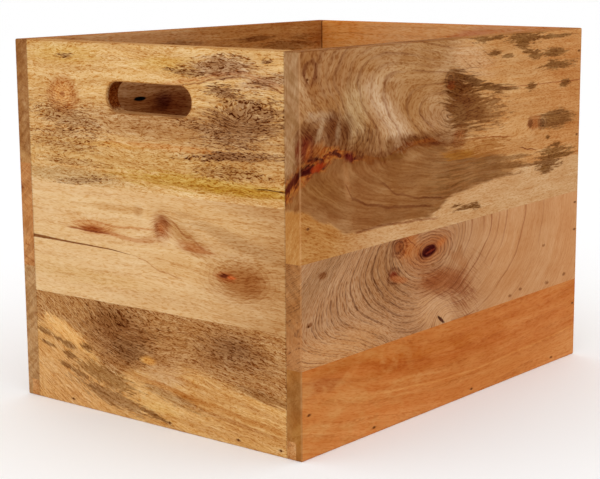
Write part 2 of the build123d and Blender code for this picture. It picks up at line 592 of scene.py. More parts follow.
def front_side_top(w):
    # Over the burl the grain lies in nested tongues whose tips climb to the left, and below it
    # in arcs; to the right it runs level.
    left = maths("MAXIMUM", 190.0 - w.run, 0.0)
    climb = left * ease(w.up, 205.0, 240.0) * 0.27
    off = w.up - 238.0 - climb
    w.flow = maths("SQRT", left * left * 0.13 + off * off)
    w.wander(60, 40, 2.2)
    w.wander(18, 12, 0.5)
    w.hill((322, 222), (22, 9), 7)
    w.hill((190, 265), (16, 9), -5)
    w.ground((170, 119, 70))
    w.cover(ease(w.cloud(60, 26), 0.42, 0.62), tone(186, 141, 96), 0.7)
    w.paints(
        ((30, 284), (52, 22), (158, 104, 58), 0.7, 0, 0.8, 0.6),
        ((112, 240), (38, 11), (204, 164, 124), 0.75, -42, 0.3, 0.7),
        ((64, 250), (13, 22), (187, 150, 104), 0.8, 12, 0.3, 0.7),
        ((172, 238), (20, 10), (180, 134, 92), 0.7, 0, 0.3, 0.7),
        ((108, 268), (12, 3.5), (160, 106, 58), 0.7, 6, 0.8, 0.6),
    )
    tongues = 1.0 - ease(w.run, 185.0, 215.0)
    w.contours(
        [(15, 1), (22.5, 0.8), (33.5, 0.9), (38, 0.4), (43.5, 0.8), (49, 0.4), (55, 0.8),
         (58.5, 0.5), (62, 0.6), (68, 0.5)],
        1.7, (166, 114, 78), 0.6, within=tongues,
    )

    # the tan wood on the right, more orange at its end
    right = ease(w.run + (w.rag - 0.5) * 60.0, 190.0, 235.0)
    w.cover(right, tone(190, 133, 77))
    w.cover(right * ease(w.along_grain(120, 6), 0.4, 0.65), tone(205, 150, 92), 0.8)
    w.cover(ease(w.run + (w.rag - 0.5) * 60.0, 290.0, 380.0), tone(190, 123, 64), 0.6)
    w.paint((222, 282), (30, 12), (206, 156, 108), 0.7, turn=-14, ragged=0.9, soft=0.5)
    w.streaks((228, 281), (30, 12), (150, 100, 56), -28, 24, 1.4, 0.7, 0.5, 0.66, soft=0.6)

    # the end grain
    w.end_grain((162, 118, 78), (144, 100, 60))

    # smooth brown wood under the burl, drawn out to the right as a grey streaky band
    burl = w.profile([(0, 213), (20, 219), (42, 225), (62, 219), (95, 214), (145, 221), (200, 217)])
    foot = w.profile(
        [(0, 186), (30, 174), (55, 163), (130, 162), (160, 161), (200, 175), (260, 180), (310, 187)]
    )
    top = w.profile([(0, 230), (150, 226), (200, 210), (230, 204), (300, 195)])
    over_foot = ease(maths("MULTIPLY_ADD", w.rag_off, 3.0, w.height - foot), -2.0, 2.0)
    brown = over_foot * (1.0 - w.above(maths("MINIMUM", burl, top), 2.0, 5.0))
    brown = brown * (1.0 - ease(w.run + (w.rag - 0.5) * 120.0, 255.0, 310.0))
    w.cover(brown, blend(tone(141, 87, 45), tone(140, 87, 43), ease(w.run, 60.0, 160.0)), 0.95)
    w.cover(brown * ease(w.run, 130.0, 200.0) * ease(w.rag, 0.45, 0.6), tone(108, 66, 30), 0.7)
    w.cover(brown * ease(w.cloud(30, 16), 0.4, 0.6), tone(148, 100, 58), 0.4)
    w.paints(
        ((24, 200), (26, 12), (130, 78, 34), 0.7, -20, 0.2, 0.7),
        ((112, 205), (14, 12), (128, 74, 32), 0.6, -40, 0.3, 0.7),
        ((54, 204), (3, 16), (168, 112, 66), 0.6, 10, 0.2, 0.8),
    )
    w.line([(52, 200), (62, 188), (80, 181), (110, 176), (145, 172), (168, 169)], 1.6,
           (186, 140, 104), 0.6)
    w.line([(96, 196), (120, 184), (150, 178), (185, 174)], 1.2, (186, 140, 104), 0.6)

    # yellow corner and pale foot
    foot_colour = blend(tone(178, 119, 60), tone(202, 154, 104), ease(w.run, 30.0, 100.0))
    w.cover(1.0 - over_foot, foot_colour)
    w.line([(64, 162), (100, 163), (135, 161), (176, 159)], 1.4, (176, 128, 92), 0.6, 0.5)

    # the big brown blotch and the dark lashes to its right
    w.paints(
        ((212, 246), (28, 22), (104, 56, 16), 0.97, -12, 1.4, 0.4),
        ((236, 240), (34, 13), (130, 80, 38), 0.75, -6, 2.4, 0.3, 0.8),
        ((208, 248), (14, 12), (98, 48, 12), 0.7, -20, 1.0, 0.6),
        ((203, 237), (9, 11), (126, 80, 40), 0.7, 0, 0.6, 0.5),
        ((222, 265), (26, 3.6), (104, 62, 28), 0.85, -14, 1.5),
        ((256, 257), (28, 3.0), (108, 64, 26), 0.85, -5, 1.6),
        ((230, 209), (38, 7), (160, 98, 40), 0.75, 0, 1.8),
        ((206, 206), (20, 3.2), (158, 98, 32), 0.75, 0, 1.0),
    )
    w.line([(200, 218), (240, 217), (285, 214)], 0.8, (190, 140, 75), 0.8, 0.6)
    w.line([(262, 256), (330, 255), (400, 254)], 0.6, (185, 130, 80), 0.8, 0.4)
    w.line([(298, 203), (312, 200), (328, 198)], 0.6, (150, 90, 55), 0.9, 0.3)

    # dark marks in the tan wood
    for at, reach in (
        ((303, 296), (28, 4.8)), ((298, 291), (12, 4)), ((352, 295), (28, 2)),
        ((262, 298), (9, 2.5)), ((238, 298), (16, 3)), ((256, 285), (9, 2.4)), ((276, 282), (9, 1.8)),
        ((306, 284), (9, 2)), ((320, 281), (11, 4)), ((352, 281), (20, 3.6)), ((358, 270), (26, 4)),
        ((314, 254), (9, 3.2)), ((371, 253), (10, 3)), ((344, 207), (4, 1.6)),
        ((357, 200), (8, 2)), ((356, 194), (26, 4)), ((344, 186), (22, 7)), ((342, 179), (10, 4)),
        ((372, 189), (18, 1.6)), ((212, 162), (14, 2)), ((230, 161), (8, 3)), ((200, 165), (8, 1.4)),
    ):
        w.paint(at, reach, (118, 72, 30), 0.88, ragged=1.3, gritty=0.9, soft=0.3)
    for at, reach in (
        ((282, 196), (40, 1.8)), ((272, 190), (34, 2.6)), ((296, 187), (30, 1.4)),
        ((262, 183), (36, 1.8)),
    ):
        w.paint(at, reach, (130, 82, 40), 0.7, turn=-3, ragged=1.8, gritty=0.5, soft=0.4)
    w.paints(
        ((358, 222), (29, 7.5), (130, 82, 38), 0.95, 0, 0.8, 0.3, 0.5),
        ((352, 228), (28, 2), (112, 68, 30), 0.7, 0, 1.1),
        ((321, 222), (12, 6.5), (166, 100, 50), 0.9, 0, 0.7),
        ((314, 222), (4, 4), (116, 62, 26), 0.8, 0, 0.8),
    )
    w.knot((334, 221), (8, 6.5), (142, 94, 52), (92, 52, 22), strength=0.7)

    # folds of dark and pale wood over the burl
    over = ease(w.up - burl, -2.0, 4.0)
    shallow = 1.0 - ease(w.deep, 3.0, 8.0)
    w.paint((24, 252), (18, 4), (184, 146, 108), 0.7, turn=-4, ragged=0.3, soft=0.6)
    w.paint((24, 238), (22, 12), (142, 92, 56), 0.7, ragged=0.3, soft=0.6, depth=9)
    w.arcs((26, 224), (14, 14), 0.5, (164, 116, 86), 0.5,
           within=w.patch((28, 238), (36, 20), soft=0.5) * over * shallow)
    w.paints(
        ((8, 240), (13, 8), (104, 54, 24), 0.9, 0, 0.4, 0.7, 0, 5),
        ((38, 241), (9, 13), (104, 54, 24), 0.95, -10, 0.3, 0.7),
        ((52, 237), (7, 12), (106, 58, 26), 0.95, -14, 0.3, 0.7),
        ((44, 240), (2.4, 9), (160, 122, 86), 0.6, -12, 0.3, 0.8),
        ((23, 242), (2.6, 10), (176, 138, 100), 0.7, -26, 0.3, 0.7),
        ((72, 226), (18, 10), (128, 76, 32), 0.85, 20, 0.4, 0.7),
    )
    w.arcs((60, 242), (11, 11), 0.42, (150, 98, 56), 0.7,
           within=w.patch((76, 227), (20, 13), turn=25, soft=0.6) * over)
    w.paint((108, 224), (7, 5), (124, 78, 40), 0.7, turn=30, ragged=0.5, soft=0.6)
    w.paint((135, 226), (50, 4), (130, 78, 38), 0.7, ragged=0.7, soft=0.7)

    # the burl's streak of black, red and orange, in a soft brown shade
    off = maths("ABSOLUTE", w.up - burl - 2.0)
    shade = off / w.profile([(0, 14), (60, 11), (100, 7), (150, 8), (205, 8)])
    shade = (1.0 - ease(shade + (w.rag - 0.5), 0.1, 1.0)) * (1.0 - ease(w.run, 180.0, 205.0))
    w.cover(shade, tone(118, 66, 30), 0.75)
    w.paints(
        ((17, 227), (11, 6), (162, 94, 40), 0.8, 10, 0.8, 0.6, 0, 8),
        ((6, 231), (9, 9), (106, 37, 8), 0.95, 0, 0.7, 0.6, 0, 5),
        ((9, 228), (2, 6), (176, 96, 40), 0.6, -20, 0.5, 0.6, 0, 7),
    )
    reach = w.profile(
        [(0, 9), (22, 7), (40, 5), (60, 4.5), (74, 2.4), (95, 1.4), (120, 1.2), (145, 1.4), (205, 0)]
    )
    near = maths("ABSOLUTE", w.up - burl + (w.cloud(12, 8, 2.0) - 0.5) * 16.0) / reach
    streak = 1.0 - ease(near + (w.grit - 0.5) * 1.4, 0.4, 1.3)
    streak = streak * (1.0 - ease(w.run, 186.0, 204.0))
    fire = ramp(w.cloud(11, 6, 2.0, 0.6, 0.8), [
        (0.38, tone(72, 24, 10)), (0.46, tone(118, 50, 20)), (0.52, tone(156, 80, 30)),
        (0.59, tone(168, 100, 42)), (0.68, tone(134, 80, 34)),
    ])
    w.cover(streak, blend(fire, tone(124, 66, 26), ease(w.run, 58.0, 80.0)), 0.9)
    w.paints(
        ((150, 222), (20, 2.2), (134, 68, 22), 0.85, 0, 0.9, 0.6),
        ((140, 225.5), (14, 1.6), (102, 52, 18), 0.8, -3, 1.0, 0.5),
        ((166, 219), (22, 1.3), (110, 56, 22), 0.85, -4, 1.0, 0.5),
        ((8, 216), (8, 3.4), (62, 20, 8), 0.97, 12, 1.1, 0.3, 0, 20),
        ((0, 215), (2.6, 3.2), (74, 26, 10), 0.9, 0, 0.9, 0.5),
        ((8, 217), (5, 0.8), (120, 50, 26), 0.7, 14, 0.8),
        ((20, 216), (8, 3.0), (152, 52, 16), 0.9, 14, 0.8),
        ((57, 220), (7, 3.4), (88, 26, 6), 0.95, -24, 0.6, 0.6),
        ((112, 214), (16, 2.2), (122, 72, 30), 0.85, 0, 0.8),
    )

    # knots
    w.outline((12, 284), (6.4, 8.5), (160, 104, 60), 0.8, turn=-8, wide=0.5)
    w.paints(
        ((12, 290), (4, 6), (150, 96, 50), 0.4, 0, 0.3, 0.8),
        ((16, 272), (8, 5), (142, 84, 38), 0.75, 0, 0.4, 0.7),
        ((197, 265), (14, 11), (98, 52, 16), 0.85, 0, 0.9, 0.4),
    )
    w.knot((190, 268), (8, 8), (134, 78, 34), (92, 50, 20), rings=2.0, strength=0.6)
    w.paint((191, 263), (6, 3), (122, 58, 18), 0.8)
    w.paint((203, 220), (11, 8), (122, 64, 22), 0.85, turn=20, ragged=0.6, soft=0.6)
    w.streaks((203, 221), (7, 8), (158, 90, 46), 60, 20, 2.2, 0.7)
    w.nails()
    w.figure(bands=(220, 5, 0.15), fibres=(26, 1.4, 0.2), pores=(4, 0.8, 0.26), clouds=(30, 0.2),
             dark=1.2 - brown * 0.8)


def front_side_middle(w):
    # The grain circles an eye, wider to the right, with a second small eye at the foot.
    across = w.run - 162.0
    far_left = maths("MAXIMUM", 112.0 - w.run, 0.0)
    centre = far_left * -0.3 + ease(w.run, 175.0, 225.0) * 17.0 + 133.0
    off = (w.up - centre) * (far_left * 0.018 + 1.65)
    w.flow = maths("SQRT", across * across + off * off + 4.0)
    w.wander(60, 40, 3.5)
    w.wander(14, 12, 0.6)
    w.hill((184, 78), (24, 16), 36, turn=-22)
    w.hill((121, 143), (10, 9), -12)
    w.ground((182, 131, 88))
    w.cover(1.0 - ease(w.run, 20.0, 120.0), tone(184, 136, 94), 0.8)
    w.cover(ease(w.run, 190.0, 290.0), tone(195, 136, 86), 0.9)
    w.cover((1.0 - ease(w.up, 76.0, 100.0)) * (1.0 - ease(w.run, 60.0, 130.0)), tone(203, 146, 92), 0.8)
    w.cover(ease(w.run, 330.0, 400.0), tone(203, 140, 88), 0.6)
    w.paints(
        ((26, 138), (52, 11), (150, 104, 64), 0.5, 33, 1.0, 0.6),
        ((100, 124), (28, 26), (156, 104, 60), 0.6, 0, 0.4, 0.7),
        ((172, 82), (30, 15), (204, 152, 104), 0.8, -20, 0.2, 0.5),
    )

    # the end grain
    w.end_grain((165, 106, 56), (142, 87, 43))
    w.paint((0, 88), (1.5, 16), (186, 126, 76), 0.6, ragged=0.4, soft=0.7)

    # the blotch between the eyes
    w.paints(
        ((180, 106), (34, 11), (162, 96, 50), 0.85, -8, 0.7, 0.7),
        ((182, 106), (28, 8), (142, 74, 36), 0.8, -6, 1.0, 0.6, 1.0),
        ((204, 98), (16, 6), (136, 74, 38), 0.6, -32, 0.9, 0.5, 1.0),
    )
    w.streaks((192, 100), (42, 13), (128, 64, 32), -24, 26, 1.8, 0.7, 0.48, 0.62, turn=-20, soft=0.6)
    w.streaks((226, 112), (22, 12), (150, 90, 52), -34, 24, 1.6, 0.6, 0.5, 0.62, turn=-20, soft=0.6)
    w.streaks((212, 86), (24, 14), (146, 80, 44), -42, 22, 1.6, 0.8, 0.46, 0.6, turn=-34, soft=0.6)
    w.paint((207, 126), (5, 5), (158, 98, 54), 0.7, ragged=0.9)
    w.paint((205, 120), (16, 4), (170, 110, 66), 0.7, turn=-30, ragged=0.9)

    # rings, single and grouped
    left = 1.0 - ease(w.run, 130.0, 160.0)
    w.contours(
        [(17, 0.7), (23, 0.9), (27, 0.6), (31, 0.8), (36, 0.5), (41, 0.7), (46, 0.9), (51, 0.7), (56, 0.4)],
        1.5, (150, 96, 62), 0.75, within=ease(w.up, 104.0, 116.0),
    )
    w.contours(
        [(49, 0.7), (59, 0.9), (67, 0.7), (74, 1), (84, 1), (92, 0.6), (104, 0.7), (122, 0.5)],
        1.8, (136, 86, 54), 0.85, within=1.0 - ease(w.run, 126.0, 160.0),
    )
    w.contours(
        [(62, 0.8), (79, 1), (91, 1), (104, 0.6), (118, 0.8), (146, 0.8), (179, 0.4)],
        2.2, (176, 124, 92), 0.8, within=1.0 - left,
    )
    w.rings(4.4, (130, 82, 52), 0.9, wobble=2.6, within=left)
    w.rings(4.2, (156, 104, 70), 0.8, within=w.patch((174, 84), (38, 20), turn=-20, ragged=0.1))

    # the eyes and the knots round them
    w.paint((163, 134), (28, 12), (170, 98, 48), 0.8, turn=12, ragged=0.2, soft=0.6)
    w.arcs((163, 134), (13, 6), 0.42, (140, 84, 50), 0.8, w.patch((163, 134), (34, 16), soft=0.4))
    w.paints(
        ((163, 134), (14.5, 5.8), (128, 58, 26), 0.9, 11, 0.4, 0.4, 0, 20),
        ((162, 133.5), (11.5, 4.2), (58, 18, 6), 0.97, 11, 0.8, 0.3, 0, 20),
        ((164, 133), (6, 0.9), (120, 40, 20), 0.7, 11, 0.6, 0.3, 0, 20),
        ((179, 138), (6, 3), (184, 100, 46), 0.7, 14, 0.5, 0.7),
        ((133, 142), (14, 11), (178, 102, 48), 0.85, 0, 0.5, 0.6, 0.4),
    )
    w.line([(130, 149), (138, 144), (146, 139)], 0.9, (160, 96, 60), 0.7, 0.5)
    w.paint((114, 121), (5.5, 3.6), (118, 42, 10), 0.95, turn=-20, ragged=0.6, soft=0.5)
    w.outline((114, 121), (8, 6), (160, 104, 68), 0.6)
    w.paint((121, 117), (11, 2.6), (178, 106, 58), 0.8, turn=-14, ragged=0.5, soft=0.5)
    w.paint((121, 143), (6, 5), (142, 76, 36), 0.85, turn=20, soft=0.5)
    w.outline((121, 143), (5.5, 4.6), (140, 84, 48), 0.7, turn=20)
    w.outline((121, 143), (9, 7.5), (170, 116, 78), 0.6, turn=20)
    w.paint((122, 143), (2, 1.4), (124, 62, 28), 0.9, ragged=0.5)
    w.paint((180, 74), (6.2, 1.5), (72, 30, 10), 0.97, turn=-36, ragged=0.3, depth=12)
    for at, size in (
        ((25, 136), 2.6), ((10, 102), 1.6), ((303, 78), 1.2), ((286, 75), 1.2), ((341, 111), 1.2),
        ((348, 76), 1.6), ((378, 79), 1.4), ((168, 121), 1.4),
    ):
        w.paint(at, (size * 1.9, size), (128, 72, 34), 0.8, ragged=0.9, soft=0.4)
    w.nails()
    w.figure(bands=(200, 8, 0.12), fibres=(20, 1.4, 0.16), pores=(4, 0.8, 0.3), clouds=(40, 0.15),
             dark=1.4 - ease(w.run, 100.0, 200.0))


def front_side_bottom(w):
    # Broad shallow arcs, lowest past the middle.
    away = w.run - 235.0
    w.flow = w.up - away * away * (0.00055 - 0.0003 * ease(away, -20.0, 20.0))
    w.wander(120, 30, 2.5)
    w.ground((194, 115, 54))
    w.cover(1.0 - ease(w.flow, -12.0, 34.0), tone(220, 141, 77), 0.9)
    w.bands(180, 9, (200, 124, 60), 0.5)
    w.paint((10, 30), (50, 34), (200, 130, 68), 0.7, ragged=0.5, soft=0.8)
    w.paint((26, 55), (30, 9), (166, 86, 38), 0.75, ragged=0.8, soft=0.7)
    off = maths("ABSOLUTE", w.flow - 46.0 + w.rag_off * 4.0)
    w.cover(1.0 - ease(off, 4.0, 18.0), tone(181, 95, 32), 0.75)
    w.cover(ease(w.cloud(16, 9), 0.44, 0.64) * (1.0 - ease(w.run, 90.0, 200.0)), tone(206, 142, 78), 0.5)
    w.cover(ease(w.cloud(40, 12), 0.44, 0.64), tone(204, 124, 62), 0.5)
    w.paint((340, 46), (90, 26), (204, 122, 62), 0.6, ragged=0.8, soft=0.8)
    w.paint((70, 64), (60, 4), (188, 114, 52), 0.6, ragged=0.8, soft=0.7)
    w.end_grain((164, 107, 52), (150, 95, 44))
    w.paint((0, 50), (1.0, 14), (142, 92, 46), 0.5, soft=0.5, ragged=0.3, depth=22)
    w.paint((0, 22), (1.0, 11), (172, 116, 52), 0.4, ragged=0.3, soft=0.5, depth=9)
    pale = 1.0 - ease(maths("ABSOLUTE", w.flow - 21.0 + (w.rag - 0.5) * 3.0), 0.3, 1.6)
    w.cover(pale * ease(w.run, 60.0, 110.0), tone(216, 146, 80), 0.7)
    w.rings(14.0, (222, 196, 164), 0.6)
    w.nails()
    w.figure(bands=(300, 9, 0.18), fibres=(40, 2.0, 0.12), pores=(6, 1.0, 0.16), clouds=(40, 0.16))


# ---------------- the left end ----------------

def left_end_top(w):
    w.wander(90, 30, 4.0)
    w.wander(26, 9, 0.9)
    w.wander(8, 6, 0.35)
    w.hill((245, 258), (14, 10), 6)
    w.hill((60, 250), (22, 10), 6)
    w.ground((208, 156, 92))
    w.bands(70, 8, (222, 173, 107), 0.8, 0.4, 0.62)
    w.paints(
        ((246, 290), (40, 7), (208, 156, 78), 0.8, 0, 1.0, 0.6),
        ((118, 286), (40, 6), (206, 154, 74), 0.8, 0, 1.0, 0.6),
        ((150, 240), (95, 11), (160, 106, 60), 0.85, 0, 0.8, 0.6),
        ((60, 228), (80, 26), (174, 119, 65), 0.75, 0, 0.8, 0.7),
        ((225, 232), (50, 20), (206, 157, 100), 0.6, 0, 0.8, 0.7),
        ((160, 210), (120, 9), (192, 139, 72), 0.7, 0, 0.8, 0.6),
        ((240, 192), (60, 7), (186, 142, 88), 0.85, 0, 0.8, 0.5),
        ((90, 198), (90, 6), (188, 136, 50), 0.85, 0, 1.2, 0.5),
        ((50, 196), (60, 3.0), (170, 111, 28), 0.85, 0, 1.1, 0.5),
        ((215, 221), (60, 2.6), (200, 138, 60), 0.7, 0, 1.0),
        ((120, 223), (60, 2.2), (192, 124, 60), 0.75, 0, 1.0),
    )
    w.cover(1.0 - ease(w.up, 184.0, 190.0), tone(218, 174, 118), 0.7)
    w.paint((245, 257), (17, 14), (212, 153, 88), 0.8, ragged=0.4, soft=0.5)
    w.paint((245, 257), (11, 10), (216, 152, 84), 0.75, ragged=0.3, soft=0.6)
    w.arcs((245, 257), (8, 6.5), 0.4, (206, 170, 134), 0.6, within=w.patch((245, 257), (19, 15), soft=0.4))
    w.outline((245, 257), (14, 12), (206, 162, 118), 0.5, wide=0.6)
    w.paint((245, 258), (2.6, 2), (160, 90, 42), 0.9, ragged=0.4, soft=0.5)

    # brown patches made of dark curly dashes, over softer shade
    w.paints(
        ((74, 286), (34, 8), (178, 132, 94), 0.8, 0, 0.8, 0.5),
        ((52, 248), (46, 17), (160, 110, 64), 0.6, -10, 0.8, 0.6),
        ((30, 277), (30, 5), (180, 134, 96), 0.7, -8, 0.8, 0.6),
    )
    dashes = 0.85 + w.patch((235, 238), (50, 16), soft=0.6, level=0.6)
    for at, reach, turn, strength in (
        ((76, 287), (30, 7), -6, 0.55), ((112, 281), (20, 2.5), 4, 0.7), ((72, 268), (16, 5.5), 6, 0.95),
        ((52, 246), (38, 15), -10, 0.9), ((42, 261), (14, 2.2), 0, 0.8), ((92, 240), (30, 4), 8, 0.5),
        ((62, 221), (44, 3.4), -4, 0.95), ((66, 208), (32, 5.5), 0, 0.4), ((30, 292), (7, 2), 0, 0.9),
        ((242, 289), (9, 2), 0, 0.7), ((24, 279), (22, 3.5), -10, 0.5), ((242, 240), (36, 9), 10, 0.45),
        ((235, 204), (34, 3), 0, 0.3), ((222, 190), (30, 3), -8, 0.45), ((246, 221), (40, 8), 0, 0.35),
    ):
        mask = w.patch(at, reach, turn=turn, ragged=1.1, gritty=1.4, soft=0.4)
        w.cover(mask, tone(136, 88, 50), strength)
        dashes = dashes + mask
    w.line([(14, 273), (30, 278), (55, 283), (75, 281), (100, 276), (135, 271)], 2.4,
           (226, 190, 172), 0.6)
    w.line([(14, 270), (30, 275), (55, 280), (75, 278), (100, 273), (135, 269)], 1.0,
           (170, 120, 90), 0.7)
    w.line([(14, 199), (30, 199.5), (44, 199)], 0.7, (100, 60, 36), 0.9, 0.3)
    w.rings(9.0, (222, 196, 160), 0.6)
    # painted shade inside the hand-hold
    w.slot_shade(*HAND_HOLD)
    w.figure(bands=(140, 6, 0.15), fibres=(14, 1.4, 0.3), pores=(4.5, 0.8, 0.75), clouds=(30, 0.15),
             curl=1.2, dark=maths("MINIMUM", dashes, 1.8))


def left_end_middle(w):
    w.wander(110, 40, 3.0)
    w.wander(24, 10, 0.5)
    w.hill((214, 154), (22, 7), 6)
    w.hill((62, 131), (30, 14), 7)
    w.hill((138, 162), (12, 10), -8)
    w.ground((225, 182, 128))
    w.bands(120, 6, (230, 190, 136), 0.7)
    w.cover(1.0 - ease(w.run + (w.rag - 0.5) * 30.0, 10.0, 130.0), tone(178, 124, 70), 0.85)
    w.paints(
        ((95, 172), (60, 10), (212, 162, 102), 0.7, 4, 0.6, 0.7),
        ((60, 158), (60, 5), (174, 126, 78), 0.5, 14, 1.2, 0.6),
        ((120, 104), (70, 9), (212, 166, 112), 0.7, -3, 0.7, 0.7),
        ((230, 112), (60, 6), (212, 166, 102), 0.5, 0, 0.9, 0.7),
        ((110, 131), (50, 9), (212, 162, 102), 0.8, 0, 0.4, 0.7),
    )

    # the brown eye and its heart
    w.paint((58, 128), (28, 14), (180, 124, 68), 0.8, ragged=0.3, soft=0.7)
    w.arcs((62, 129), (16, 8), 0.3, (206, 166, 126), 0.7, within=w.patch((58, 128), (34, 17), soft=0.5))
    w.paints(
        ((54, 128), (20, 9.5), (156, 94, 46), 0.8, 0, 0.3, 0.6),
        ((46, 128), (7, 9), (150, 88, 42), 0.6, 0, 0.4, 0.7),
        ((73, 130), (10, 3.6), (160, 84, 38), 0.85, 0, 0.4, 0.6),
        ((74, 130.5), (5, 1.6), (92, 34, 14), 0.95, 0, 0.7, 0.4),
        ((67, 130), (4, 1.2), (206, 104, 52), 0.8, 0, 0.6, 0.5),
    )

    # the lens-shaped knot, with the grain swelling over it
    w.paints(
        ((212, 153), (30, 6.5), (212, 158, 98), 0.8, 0, 0.5, 0.7),
        ((213, 152), (19, 4.4), (190, 118, 62), 0.85, 0, 0.6, 0.6),
        ((214, 151.4), (12, 2.4), (142, 62, 22), 0.9, 0, 0.9, 0.5),
    )
    w.line([(196, 149.4), (214, 149.2), (232, 150), (246, 150.5)], 1.0, (176, 112, 70), 0.8, 0.4)
    w.line([(146, 149), (165, 147.5), (200, 149.5)], 2.6, (214, 168, 128), 0.7, 0.4)
    w.line([(145, 158), (165, 157), (190, 156), (215, 158), (240, 155)], 1.2,
           (224, 186, 150), 0.7, 0.4)
    w.paint((186, 171), (26, 3.4), (204, 152, 92), 0.85, ragged=0.6, soft=0.6)
    w.paint((163, 171), (4, 4), (184, 130, 76), 0.6, turn=30, ragged=0.6, soft=0.8)

    # the upright knot and the brown wood that trails from it
    w.paints(
        ((114, 157), (28, 7), (186, 132, 76), 0.9, 26, 0.7, 0.7),
        ((103, 148), (17, 4.0), (176, 106, 56), 0.85, 6, 0.7, 0.7),
        ((150, 150), (14, 3), (196, 140, 88), 0.7, -10, 0.6, 0.7),
        ((138, 160), (8, 9), (168, 94, 44), 0.85, -20, 0.6, 0.8, 0.3),
        ((139, 160), (3.4, 3.6), (186, 112, 60), 0.7, 0, 0.5, 0.7),
    )
    w.arcs((139, 158), (4, 4.5), 0.4, (180, 118, 84), 0.6, within=w.patch((138, 160), (7, 8), soft=0.4))
    w.paint((135, 166), (6, 3), (136, 70, 34), 0.7, turn=20, ragged=0.6, soft=0.7)
    w.paint((143, 158), (2, 6), (150, 84, 42), 0.6, turn=-10, ragged=0.6, soft=0.8)
    w.line([(92, 148), (110, 156), (130, 167)], 1.6, (206, 160, 120), 0.6, 0.6)

    # the crack from the edge
    off = maths("ABSOLUTE", w.up - w.profile([(166, 135), (200, 137), (225, 137.5), (290, 138.6)]))
    half = w.profile([(160, 0), (200, 0.5), (250, 0.85), (290, 1.6)])
    w.cover((1.0 - ease(off / half, 0.5, 1.3)) * ease(w.run, 162.0, 172.0), tone(122, 64, 22), 0.95)
    w.line([(118, 123), (140, 126), (160, 133), (170, 135)], 0.8, (206, 164, 124), 0.6, 0.3)
    w.rings(9.0, (226, 202, 168), 0.7)
    w.figure(bands=(160, 7, 0.10), fibres=(30, 1.4, 0.16), pores=(5, 0.8, 0.36), clouds=(30, 0.12), curl=0.6)


def left_end_bottom(w):
    steep = maths("MAXIMUM", w.run - 150.0, 0.0)
    w.flow = w.up - w.run * 0.13 - steep * steep * 0.002
    w.wander(60, 26, 3.0)
    w.wander(18, 9, 0.7)
    w.wander(8, 6, 0.3)
    w.hill((185, 70), (40, 18), 12)
    w.ground((204, 147, 82))
    w.bands(90, 4, (220, 167, 98), 0.8)
    w.paint((250, 16), (56, 28), (218, 162, 98), 0.8, turn=20, ragged=0.5, soft=0.7)
    top = w.profile([(0, 44), (60, 44), (110, 52), (160, 44), (200, 34), (225, 52), (260, 72), (286, 66)])
    brown = w.above(top, 5.0, 9.0)
    w.cover(brown, tone(177, 124, 72), 0.9)
    w.paints(
        ((260, 84), (40, 10), (184, 130, 74), 0.7, 0, 0.8, 0.6),
        ((188, 68), (34, 22), (142, 90, 48), 0.85, 10, 0.7, 0.6, 0.5),
        ((196, 80), (20, 6), (124, 72, 32), 0.7, 0, 0.8, 0.5),
        ((178, 56), (18, 9), (120, 74, 38), 0.7, 0, 0.9, 0.5, 0.5),
        ((66, 72), (34, 15), (148, 98, 56), 0.85, 0, 0.7, 0.6, 0.5),
        ((66, 75), (16, 7), (130, 84, 48), 0.6, 0, 0.7, 0.6),
        ((205, 31), (34, 8), (140, 90, 42), 0.85, 12, 1.2, 0.3, 1.0),
        ((200, 15), (40, 6), (146, 100, 58), 0.75, 10, 1.4, 0.3, 1.2),
        ((130, 26), (28, 5), (160, 112, 64), 0.7, 10, 1.0, 0.3, 0.8),
        ((34, 43), (28, 4), (138, 84, 40), 0.75, 8, 1.0),
        ((250, 61), (30, 6.5), (230, 171, 98), 0.9, 18, 1.2),
        ((262, 67), (14, 4), (230, 172, 100), 0.85, 14, 1.0),
    )
    for at, reach in (
        ((276, 58), (9, 2.4)), ((248, 51), (9, 2.4)), ((246, 42), (8, 2.4)), ((252, 33), (8, 2)),
        ((234, 28), (14, 2.4)), ((272, 48), (8, 1.6)), ((226, 52), (7, 3)), ((150, 8), (14, 2)),
        ((262, 54), (6, 1.4)), ((216, 18), (12, 1.6)),
    ):
        w.paint(at, reach, (132, 84, 42), 0.85, turn=12, ragged=1.1, gritty=1.2)
    w.paints(
        ((138, 43), (20, 8), (206, 160, 108), 0.8, 0, 0.8, 0.6, 0.5),
        ((156, 52), (8, 3), (214, 146, 64), 0.8, 0, 0.8, 0.5),
        ((142, 15), (20, 4), (226, 178, 104), 0.7, 6, 0.9, 0.5),
        ((80, 26), (80, 2.4), (184, 116, 50), 0.8, 7, 0.9, 0.5),
        ((70, 36), (60, 2), (188, 124, 60), 0.6, 7, 0.9, 0.5),
        ((60, 17), (60, 1.4), (176, 112, 54), 0.6, 5, 0.9, 0.5),
    )
    w.streaks((200, 78), (70, 16), (120, 74, 36), 38, 10, 1.2, 0.6, 0.5, 0.62, soft=0.5)
    w.streaks((268, 14), (34, 22), (178, 116, 58), 38, 16, 1.1, 0.6, 0.48, 0.62, soft=0.5)
    w.rings(5.0, (206, 166, 124), 0.7, 2.0)
    w.nails()
    w.figure(bands=(120, 5, 0.12), fibres=(16, 1.4, 0.3), pores=(4, 0.8, 0.6), clouds=(26, 0.15),
             curl=1.2, dark=0.8 + brown * 0.8)


# ---------------- the other boards ----------------

